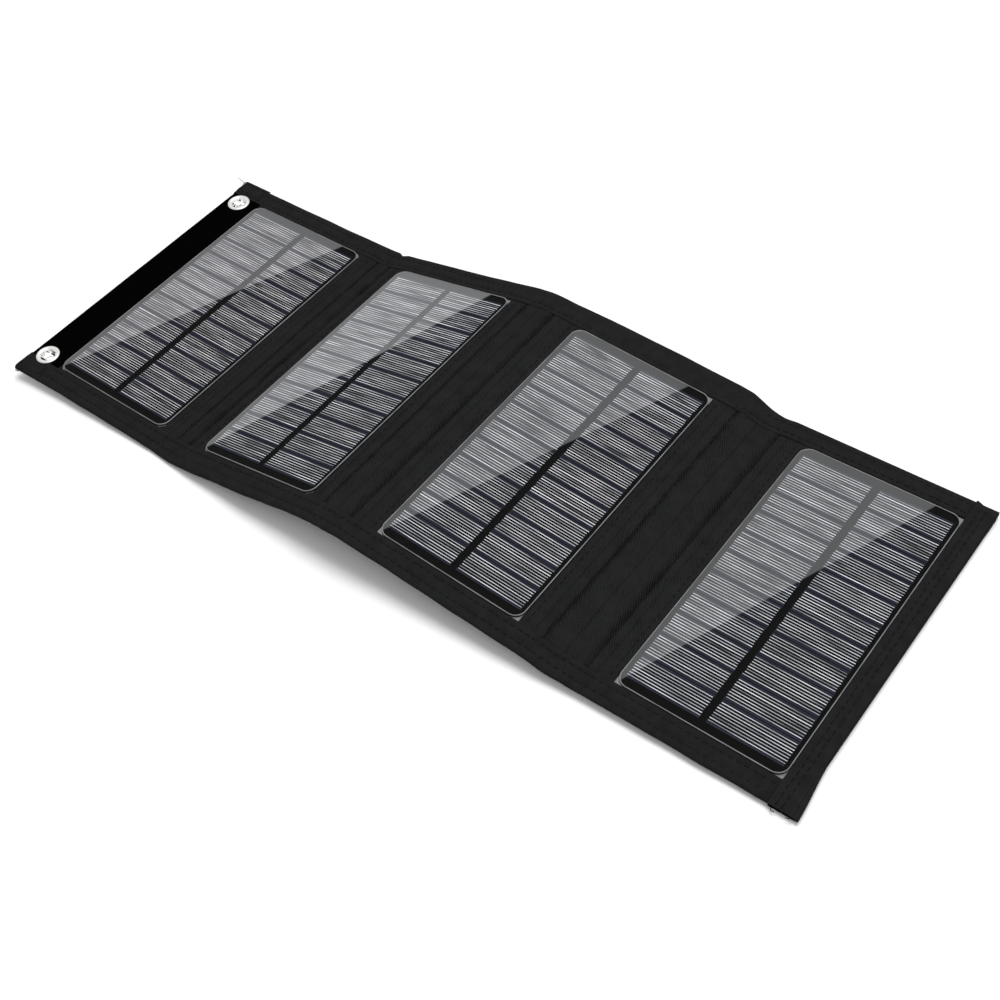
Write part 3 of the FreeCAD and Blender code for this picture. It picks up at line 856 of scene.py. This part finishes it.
def rounded_edge(outer, wide, high):
    """Half an ellipse from the front of an edge to its back, ends left out."""
    angles = [math.pi * step / TURN_STEPS for step in range(1, TURN_STEPS)]
    return [(outer - wide + wide * math.sin(angle), high * math.cos(angle)) for angle in angles]


def mirrored_back(front):
    return [(place, -height) for place, height in reversed(front)]


def hem_profile(u, side):
    """Closed cross-section of one hem: over the front, round the edge, under the back and in again."""
    outer = HEM_OUTER + edge_wander(u, side)
    radius = HEM_TOP * 0.95
    stretch = (outer - HEM_INNER) / (HEM_OUTER - HEM_INNER)
    room = COVER_TOP - TUCK * 0.5
    front = [(HEM_INNER + s * MM * stretch, hem_surface(s * MM, u)) for s in HEM_STATIONS]
    front[0] = (front[0][0], room)
    front[1] = (front[1][0], front[1][1] - 0.12 * MM)
    inner = [(HEM_INNER + 0.6 * MM, -room), (EDGE_HALF + 0.1 * MM, -room)]
    outline = front + rounded_edge(outer, radius, radius) + mirrored_back(front)
    outline += inner + mirrored_back(inner)
    return [(side * v, height) for v, height in outline]


def sweep_edges(name, zone, us, profile_at, material, slot, node):
    """Sweeps profile_at(u, side) along both long edges of a zone."""
    sides = [sweep(name, us, lambda u: profile_at(u, side), material) for side in (1, -1)]
    hand_over(join_named(f"{name}_{zone.name}", sides), slot, zone, f"{node}_{zone.cad_name}")


def make_hems():
    for zone in ZONES:
        us = steps(*zone.inset(0.2 * MM), 1.3 * MM if zone.on_panel else 0.6 * MM)
        sweep_edges("hems", zone, us, hem_profile, TAPE, "hem_fabric", "edge_hems")


WIRE_OUTER, WIRE_THICK = span("bus_wires_panel_2", BY_NAME["panel_2"])[1][1:]
WIRE_HALF = 1.5 * MM
WIRE_FIRST = BY_NAME["panel_1"].first + span("bus_wires_panel_1", BY_NAME["panel_1"])[0][0]
WIRE_LAST = BY_NAME["panel_4"].first + span("bus_wires_panel_4", BY_NAME["panel_4"])[1][0]
WIRE_UPPER = [(-1.0, 0.0), (-0.85, 0.8), (-0.5, 1.0), (0.0, 0.7), (0.5, 1.0), (0.85, 0.8), (1.0, 0.0)]
WIRE_SHAPE = WIRE_UPPER + mirrored_back(WIRE_UPPER[1:-1])


def wire_profile(u, side):
    """Flat two-core cable: a rounded outline with a shallow waist along its middle."""
    return [(side * (WIRE_OUTER + (x - 1) * WIRE_HALF), y * WIRE_THICK) for x, y in WIRE_SHAPE]


def make_wires():
    jacket = plastic("wire_jacket", grey(0.02), 0.5)
    for zone in ZONES:
        us = steps(max(zone.low, WIRE_FIRST), min(zone.high, WIRE_LAST), 2 * MM)
        sweep_edges("wires", zone, us, wire_profile, jacket, "wire_jacket", "bus_wires")


# ---- modules

# cross-sections of the rim and of the clear layer's edge: (outwards, upwards) from the top's edge, in mm
RIM_PROFILE = [(0.08, -0.45), (0.10, 0.02), (0.03, 0.14), (-0.09, 0.20), (-0.21, 0.17), (-0.30, 0.08),
               (-0.33, 0.0), (-0.2, -0.12)]
LENS_PROFILE = [(0, -0.24), (0, -0.10), (-0.12, 0.0)]
CORNER_RADIUS = 5 * MM
CORNER_STEPS = 9


def sweep_module_edge(module, name, profile, material, closed, *nodes):
    """Carries a profile round the module's rounded edge; an open profile is capped into a slab."""
    middle = (module.left + module.right) / 2
    half_x = (module.right - module.left) / 2 - CORNER_RADIUS
    half_y = module.half - CORNER_RADIUS
    points = []
    for outwards, upwards in profile:
        reach = CORNER_RADIUS + outwards * MM
        for quarter, (sx, sy) in enumerate(((1, 1), (-1, 1), (-1, -1), (1, -1))):
            for step in range(CORNER_STEPS):
                angle = math.pi / 2 * (quarter + step / (CORNER_STEPS - 1))
                points.append(module.section.point(
                    middle + sx * half_x + math.cos(angle) * reach,
                    sy * half_y + math.sin(angle) * reach, module.top + upwards * MM))
    faces = ring_faces(len(profile), 4 * CORNER_STEPS, closed=closed)
    piece = make_solid(f"{name}_{module.number}", points, faces, material, smooth=closed)
    hand_over(piece, "clear_resin", module.section.name, *nodes)


def make_clear_layer(module):
    """Clear front layer with a small bevel and a painted reflection, and the thin milky bead round its
    edge, partly a painted highlight.
    """
    number = module.number
    clear = clear_material(f"clear_resin_{number}", glare_normal(module))
    sweep_module_edge(module, "module_lens", LENS_PROFILE, clear, False, f"module_clear_layer_{number}")
    sweep_module_edge(module, "module_rim", RIM_PROFILE, RIM_AND_HIGHLIGHT, True)


FINGERS_PER_CELL = 8
FINGER_STEP = 1.28 * MM
FINGER_HALF = 0.17 * MM
FINGER_RISE = 0.03 * MM
CELL_ROWS = 11
COLUMN_GAP = 3.0 * MM


def centred(count, pitch):
    """Places of evenly pitched items about zero."""
    return [(index - (count - 1) / 2) * pitch for index in range(count)]


def make_fingers(module):
    """Printed silver lines across every cell, each a thin raised bar."""
    points, faces = [], []
    low, high = span(f"solar_cells_{module.number}", module.section)
    middle = (module.left + module.right) / 2
    columns = ((low[0], middle - COLUMN_GAP / 2), (middle + COLUMN_GAP / 2, high[0]))
    lines = [(cell + line, column) for cell in centred(CELL_ROWS, CELL_PITCH) for column in columns
             for line in centred(FINGERS_PER_CELL, FINGER_STEP)]
    for y, (start, end) in lines:
        half = FINGER_HALF * rng.uniform(0.72, 1.08)
        inset = rng.uniform(0.1, 0.5) * MM
        faces += ring_faces(2, 4, len(points))
        for height in (high[2] - FINGER_RISE, high[2] + FINGER_RISE):
            for x, side in ((start + inset, -1), (end - inset, -1), (end - inset, 1), (start + inset, 1)):
                points.append(module.section.point(x, y + side * half, height))
    piece = make_object(f"cell_fingers_{module.number}", points, faces, FINGERS, smooth=False)
    hand_over(piece, "solar_cell", module.section.name)


# ---- eyelets, band and corners

# (radius, height) round each ring's cross-section, millimetres
RING_FRONT = [(5.65, 1.42), (5.82, 1.56), (5.74, 1.78), (5.40, 2.00), (4.95, 2.12), (4.5, 2.08),
              (4.1, 1.88), (3.75, 1.52), (3.42, 1.05), (3.15, 0.45), (3.02, -0.3), (3.0, -1.2),
              (3.05, -1.85), (3.38, -1.85), (3.4, -0.6), (3.45, 0.3), (3.8, 0.95), (4.3, 1.4), (5.0, 1.6)]
RING_BACK = [(6.05, -1.50), (6.2, -1.62), (6.0, -1.85), (5.3, -2.0), (4.5, -2.03), (3.8, -1.95),
             (3.44, -1.8), (3.42, -1.5), (4.5, -1.62)]
RING_STEPS = 56


def make_eyelet_rings(name, profile, node):
    """Turns a closed profile about the axis of each eyelet."""
    points, faces = [], []
    for row in EYELET_ROWS:
        faces += ring_faces(RING_STEPS, len(profile), len(points), closed=True)
        for step in range(RING_STEPS):
            angle = math.tau * step / RING_STEPS
            for radius, height in profile:
                points.append(BY_NAME["panel_1"].point(EYELET_AT + radius * MM * math.cos(angle),
                                                       row + radius * MM * math.sin(angle), height * MM))
    hand_over(make_solid(name, points, faces, NICKEL), "nickel", "panel_1", node)


BAND_LOW, BAND_HIGH = 1.0 * MM, 19.7 * MM
BAND_HALF = 71.3 * MM
BAND_BASE = COVER_TOP + 0.42 * MM
BAND_TOP = COVER_TOP + 0.80 * MM


def band_height(u, v):
    """Looped pile with rolled edges, pressed flat by the eyelet flanges."""
    tall = BAND_TOP + 0.16 * MM * rumple(u * 1100, v * 1100, 2)
    press = clamp((eyelet_distance(u, v) - 4.5 * MM) / (3.5 * MM))
    edge = min(u - BAND_LOW, BAND_HIGH - u, BAND_HALF - abs(v))
    crown = 0.35 * MM * (1 - clamp(edge / (0.9 * MM))) ** 2
    return lerp(BAND_BASE, tall, press) - crown


def make_band():
    spacing = 0.8 * MM
    piece = sheet("pile_band", steps(BAND_LOW, BAND_HIGH, spacing), steps(-BAND_HALF, BAND_HALF, spacing),
                  band_height, 0.42 * MM, PILE, lambda u, v: in_eyelet(u, v, 3.8 * MM))
    hand_over(piece, "pile_band", "panel_1", "end_band")


PATCH_LONG = 17 * MM
PATCH_INNER = 72.8 * MM
PATCH_STEP = 0.7 * MM


def patch_height(u, v):
    wavy = rumple(u * 260, v * 260, 21)
    press = clamp((eyelet_distance(u, v) - 5.8 * MM) / (1.8 * MM))
    edge = min(u, PATCH_LONG - u, abs(v) - PATCH_INNER, HEM_OUTER - abs(v))
    roll = 0.45 * MM * max(1 - edge / (1.1 * MM), 0) ** 2
    return lerp(HEM_TOP - 0.15 * MM, HEM_TOP + 0.40 * MM + 0.22 * MM * wavy, press) - roll


def make_patches():
    """Folded hem ends stitched down at the two left corners."""
    parts = []
    us = steps(0.1 * MM, PATCH_LONG, PATCH_STEP)
    for side in (1, -1):
        vs = sorted(side * value for value in steps(PATCH_INNER, HEM_OUTER + 0.2 * MM, PATCH_STEP))
        parts.append(sheet("patch", us, vs, patch_height, CLOTH, TAPE,
                           lambda u, v: in_eyelet(u, v, 5.0 * MM)))
    hand_over(join_named("corner_folds", parts), "hem_fabric", "panel_1", "corner_patches")


# ---- right end binding

BINDING_LOW = STRIP - 10 * MM
BINDING_NEAR = -81.1 * MM
BINDING_FAR = 82.3 * MM
BINDING_ROWS = (3.0 * MM, 5.6 * MM)
BINDING_STATIONS = [0, 0.35, 1.2, 2.2, 3.0, 3.8, 4.7, 5.6, 6.4, 7.4, 8.4]
PROFILE_STEP = 0.08  # cloth coordinate from one profile point to the next


def binding_level(v):
    """Height of the binding's underside: low over the cover, higher where it crosses the hems."""
    climb = smooth_step(abs(v), HEM_INNER - 2.5 * MM, HEM_INNER + 0.5 * MM)
    return lerp(COVER_TOP + 0.03 * MM, HEM_TOP + 0.05 * MM, climb)


def binding_surface(inward, v):
    """Front face of the binding, by distance from its inner edge."""
    soft = 0.16 * MM * rumple(inward * 200, v * 60, 31)
    return binding_level(v) + 0.50 * MM + soft + stitch_dips(inward, BINDING_ROWS, 0.26 * MM)


def binding_profile(v):
    """Closed cross-section of the binding, as (u, height) points."""
    wave = 0.25 * MM * rumple(0.3, v * 45, 17)
    level = binding_level(v)
    front = [(BINDING_LOW + wave + s * MM, binding_surface(s * MM, v)) for s in BINDING_STATIONS]
    front[0] = (front[0][0], level)
    radius = level + 0.45 * MM
    outer = STRIP - 0.05 * MM + 2.6 * MM * smooth_step(-v, 52 * MM, 84 * MM)
    inner = [(BINDING_LOW + 0.8 * MM, -level), (STRIP - 0.1 * MM, -level)]
    turn = rounded_edge(outer, radius * 0.8, radius)
    return front + turn + mirrored_back(front) + inner + mirrored_back(inner)


def make_binding():
    section = BY_NAME["panel_4"]
    rows = steps(BINDING_NEAR, BINDING_FAR, 1.2 * MM, (BINDING_NEAR + 0.4 * MM, BINDING_FAR - 0.4 * MM))
    points, uvs = [], []
    for v in rows:
        gap = clamp(min(v - BINDING_NEAR, BINDING_FAR - v) / (1.0 * MM))
        pinch = 0.35 + 0.65 * math.sqrt(1 - (1 - gap) ** 2)  # the ends close softly
        slant = smooth_step(v, 68 * MM, BINDING_FAR)
        profile = binding_profile(v)
        for index, (u, height) in enumerate(profile):
            outward = clamp((u - BINDING_LOW) / (STRIP - BINDING_LOW))
            pull = (0.9 + 3.3 * outward) * MM * slant
            points.append(section.point(u - section.first, v - pull, height * pinch))
            uvs.append((v * PER_CM, index * PROFILE_STEP))
    piece = make_solid("end_binding", points, ring_faces(len(rows), len(profile)), BINDING, uvs)
    hand_over(piece, "binding_tape", "panel_4", "right_end_binding")


# ---- thread work

STITCH_PITCH = 3.5 * MM
STITCH_LONG = 2.7 * MM
THREAD_RADIUS = 0.24 * MM
THREAD_SIDES = 6


class Threads:
    """Collects thread per zone and turns each zone's into one mesh."""

    def __init__(self):
        self.zones = {}

    def tube(self, zone, centres, radii):
        """A closed tube through row-frame points."""
        points, faces = self.zones.setdefault(zone, ([], []))
        faces += ring_faces(len(centres), THREAD_SIDES, len(points))
        for index, centre in enumerate(centres):
            ahead = centres[min(index + 1, len(centres) - 1)] - centres[max(index - 1, 0)]
            ahead.normalize()
            side = ahead.cross(UP if abs(ahead.z) < 0.9 else ACROSS).normalized()
            over = side.cross(ahead)
            for corner in range(THREAD_SIDES):
                angle = math.tau * corner / THREAD_SIDES
                points.append(centre + (side * math.cos(angle) + over * math.sin(angle)) * radii[index])

    def stitch(self, u, v, turn, length, surface, face=1):
        """One stitch: turn is 0 along the strip and 1 across it; face is 1 in front and -1 behind."""
        centres, radii = [], []
        for share in (-0.5, -0.36, -0.12, 0.12, 0.36, 0.5):
            at = (u + share * length * (1 - turn), v + share * length * turn)
            dive = (abs(share) * 2) ** 4
            height = surface(*at) + face * THREAD_RADIUS * (0.55 - 1.7 * dive)
            centres.append(strip_point(*at, height))
            radii.append(THREAD_RADIUS * (1.0 - 0.45 * dive))
        self.tube(zone_of(u), centres, radii)

    def row(self, place, low, high, turn, surface, face=1):
        """Stitches from low to high; place gives the other coordinate."""
        count = int((high - low) / STITCH_PITCH)
        for index in range(count):
            at = low + (index + 0.5) * (high - low) / count + rng.uniform(-0.12, 0.12) * MM
            off = place + rng.uniform(-0.12, 0.12) * MM
            length = STITCH_LONG * rng.uniform(0.9, 1.05)
            self.stitch(*((off, at) if turn else (at, off)), turn, length, surface, face)

    def build(self):
        for zone, (points, faces) in self.zones.items():
            hand_over(make_object(f"stitching_{zone.name}", points, faces, THREAD), "hem_fabric", zone)


threads = Threads()


def hem_face(u, v):
    return hem_surface(abs(v) - HEM_INNER, u)


def back_face(u, v):
    return back_height(u, v) - CLOTH


def binding_face(u, v):
    return binding_surface(u - BINDING_LOW, v)


def behind(surface):
    """The mirror image of a front surface, for pieces that wrap round an edge."""
    return lambda u, v: -surface(u, v)


def row_across(place, low, high, front, back):
    """A row of stitches across the strip, seen on both faces."""
    threads.row(place, low * MM, high * MM, 1, front)
    threads.row(place, low * MM, high * MM, 1, back, -1)


def sew():
    for side in (1, -1):
        for row, start in zip(HEM_ROWS, (18.5 * MM, PATCH_LONG + 0.5 * MM)):
            v = side * (HEM_INNER + row)
            threads.row(v, start, BINDING_LOW - 0.5 * MM, 0, hem_face)
            threads.row(v, 1 * MM, BINDING_LOW - 0.5 * MM, 0, behind(hem_face), -1)
    for row in BINDING_ROWS:
        row_across(BINDING_LOW + row, -81, 78, binding_face, behind(binding_face))
    for module in MODULES:
        row_across(module.high + SIDE_STITCH, -69, 69, front_height, back_face)
        if module.number > 1:
            row_across(module.low - SIDE_STITCH, -69, 69, front_height, back_face)
    for crease in CREASES:
        row_across(crease + 0.1 * MM, -69.5, 69.5, front_height, back_face)


def tack_corners():
    """A box of short stitches holds each corner fold."""
    low, high = 1.8 * MM, PATCH_LONG - 1.4 * MM
    for side in (1, -1):
        near, far = side * (PATCH_INNER + 1.3 * MM), side * (HEM_OUTER - 1.6 * MM)
        for v in (near, far):
            for at in centred(4, (high - low) / 4):
                along = (low + high) / 2 + at
                if not in_eyelet(along, v, 7.2 * MM):
                    threads.stitch(along, v, 0, STITCH_LONG, patch_height)
        for along in (low, high):
            for at in centred(2, (far - near) / 2):
                threads.stitch(along, (near + far) / 2 + at, 1, STITCH_LONG, patch_height)


LOOSE_ENDS = [
    # (along, across, height, heading in degrees, length), in millimetres
    (1.0, -81.3, -0.6, 215, 4.5), (2.5, -81.6, 0.3, 255, 3.0), (0.6, 80.6, 1.6, 160, 3.6),
    (0.4, 79.0, 1.9, 120, 2.4), (423.0, -82.0, -0.4, 250, 3.2), (428.6, -80.5, 0.2, 320, 2.6),
    (427.5, 78.0, 0.6, 80, 3.0), (421.0, 80.4, 0.6, 110, 2.0),
]
LOOSE_STEPS = 6
LOOSE_RADIUS = 0.16 * MM
FLOOR_CLEARANCE = 0.35 * MM


def fray():
    """Loose thread ends at the four corners of the strip."""
    for along, across, height, heading, length in LOOSE_ENDS:
        base = strip_point(min(along * MM, STRIP), across * MM, height * MM)
        centres = []
        for step in range(LOOSE_STEPS + 1):
            turn = math.radians(heading) + math.radians(26) * step * math.sin(heading)
            reach = Vector((math.cos(turn), math.sin(turn), 0)) * (length * MM * step / LOOSE_STEPS)
            rise = 0.10 * MM * step * step * math.sin(heading + 1)
            centres.append(base + reach + UP * max(rise, FLOOR_CLEARANCE - base.z))
        zone = zone_of(min(along * MM, STRIP - 1 * MM))
        threads.tube(zone, centres, [LOOSE_RADIUS] * len(centres))


# ---- box sleeve behind panel 3

SLEEVE_MARGIN = 3.6 * MM  # over this much the sleeve falls from the box to the cover
SLEEVE_FLANGE = 4.0 * MM
SLEEVE_CLOTH = 0.45 * MM
SLEEVE_STEP = 0.8 * MM


def make_sleeve():
    """Soft pouch sewn to the back cover over the output box, open at the socket end."""
    section = BY_NAME["panel_3"]
    low, high = span("box_sleeve", section)
    left, right = section.first + low[0], section.first + high[0]
    depth = -COVER_TOP - low[2] - 0.75 * MM

    def depth_at(u, v):
        beside = max(left - u, u - right, 0)
        share = min(math.hypot(beside, max(v - high[1], 0)) / SLEEVE_MARGIN, 1)
        fall = (1 - share ** 2) ** 1.6
        crumple = 0.35 * MM * rumple(u * 90, v * 90, 41) * (0.3 + fall)
        middle = math.cos(min(abs(u - (left + right) / 2) / (right - left), 0.5) * math.pi)
        return -COVER_TOP - 0.05 * MM - (depth + 0.15 * MM * middle) * fall + min(crumple, 0.1 * MM)

    def sewn(u, v):
        return depth_at(u, v) - SLEEVE_CLOTH

    reach = SLEEVE_MARGIN + SLEEVE_FLANGE
    us = steps(left - reach, right + reach, SLEEVE_STEP)
    vs = steps(low[1], high[1] + reach, SLEEVE_STEP)
    piece = sheet("sleeve", us, vs, depth_at, SLEEVE_CLOTH, SLEEVE)
    hand_over(piece, "sleeve_fabric", "panel_3", "box_sleeve")
    seam = SLEEVE_MARGIN + SLEEVE_FLANGE / 2
    for at in (left - seam, right + seam):
        threads.row(at, low[1] + 0.5 * MM, high[1] + SLEEVE_MARGIN, 1, sewn, -1)
    threads.row(high[1] + seam, left - SLEEVE_MARGIN, right + SLEEVE_MARGIN, 0, sewn, -1)


# ---- materials of the CAD nodes

def paint_nodes():
    """Gives the carried-over CAD nodes their materials, by the way their names start."""
    looks = {"stiffener": plastic("stiffener_board", (0.22, 0.22, 0.225, 1), 0.6),
             "module_backsheet": plastic("module_backsheet", (0.0042, 0.0042, 0.0038, 1), 0.6, 0.02),
             "solar_cells": SILICON,
             "box_base box_lid": plastic("box_plastic", (0.025, 0.025, 0.026, 1), 0.5),
             "circuit_board": plastic("circuit_laminate", (0.02, 0.15, 0.05, 1), 0.35),
             "converter_coil": plastic("coil_ferrite", (0.05, 0.045, 0.04, 1), 0.6),
             "status_lamp": plastic("lamp_red", (0.6, 0.03, 0.02, 1), 0.2),
             "usb_socket": metal("socket_steel", (0.62, 0.62, 0.60, 1), 0.28, 8.0)}
    for starts, material in looks.items():
        for name, piece in frame["nodes"].items():
            if name.startswith(tuple(starts.split())):
                piece.data.materials.clear()
                piece.data.materials.append(material)


# ---- floor and light

FLOOR_HALF = 6.0
FLOOR_LEVEL = 0.93
WORLD_LEVEL = 0.55


def make_floor():
    n = Nodes("floor")
    material = n.finish(n.add("BsdfDiffuse", 0, {"Color": grey(FLOOR_LEVEL)}))
    corners = [(u * FLOOR_HALF, v * FLOOR_HALF, 0) for u, v in ((-1, -1), (1, -1), (1, 1), (-1, 1))]
    make_object("floor", corners, [(0, 1, 2, 3)], material, smooth=False)


def make_world():
    world = bpy.data.worlds.new("studio")
    world.use_nodes = True
    colour, strength = world.node_tree.nodes["Background"].inputs[:2]
    colour.default_value = (1, 1, 1, 1)
    strength.default_value = WORLD_LEVEL
    bpy.context.scene.world = world


def area_light(name, place, power, shape, size, target):
    data = bpy.data.lights.new(name, "AREA")
    data.shape = shape
    data.size, data.size_y = size
    data.energy = power
    light = bpy.data.objects.new(name, data)
    light.location = place
    light.rotation_mode = "QUATERNION"
    light.rotation_quaternion = (target - Vector(place)).to_track_quat("-Z", "Y")
    bpy.context.scene.collection.objects.link(light)
    return light


def make_lights():
    """Two soft lights, and the light that falls through the eyelets onto the table."""
    area_light("key", (0.14, 0.40, 1.65), 21, "RECTANGLE", (1.0, 0.8), Vector())
    area_light("fill", (1.2, -0.8, 1.6), 4, "RECTANGLE", (1.2, 1.2), Vector())
    for row in EYELET_ROWS:
        place = BY_NAME["panel_1"].point(EYELET_AT, row, -2.3 * MM)
        light = area_light("hole", place, 0.0010, "DISK", (5.2 * MM, 5.2 * MM), place - UP)
        light.visible_camera = False


make_camera()
make_covers()
make_hems()
make_wires()
paint_nodes()
for solar_module in MODULES:
    make_clear_layer(solar_module)
    make_fingers(solar_module)
make_eyelet_rings("eyelet_rings", RING_FRONT, "eyelet_fronts")
make_eyelet_rings("eyelet_back_rings", RING_BACK, "eyelet_washers")
make_band()
make_patches()
make_binding()
sew()
tack_corners()
fray()
make_sleeve()
threads.build()
make_floor()
make_world()
make_lights()
bpy.context.scene.view_settings.view_transform = "Standard"
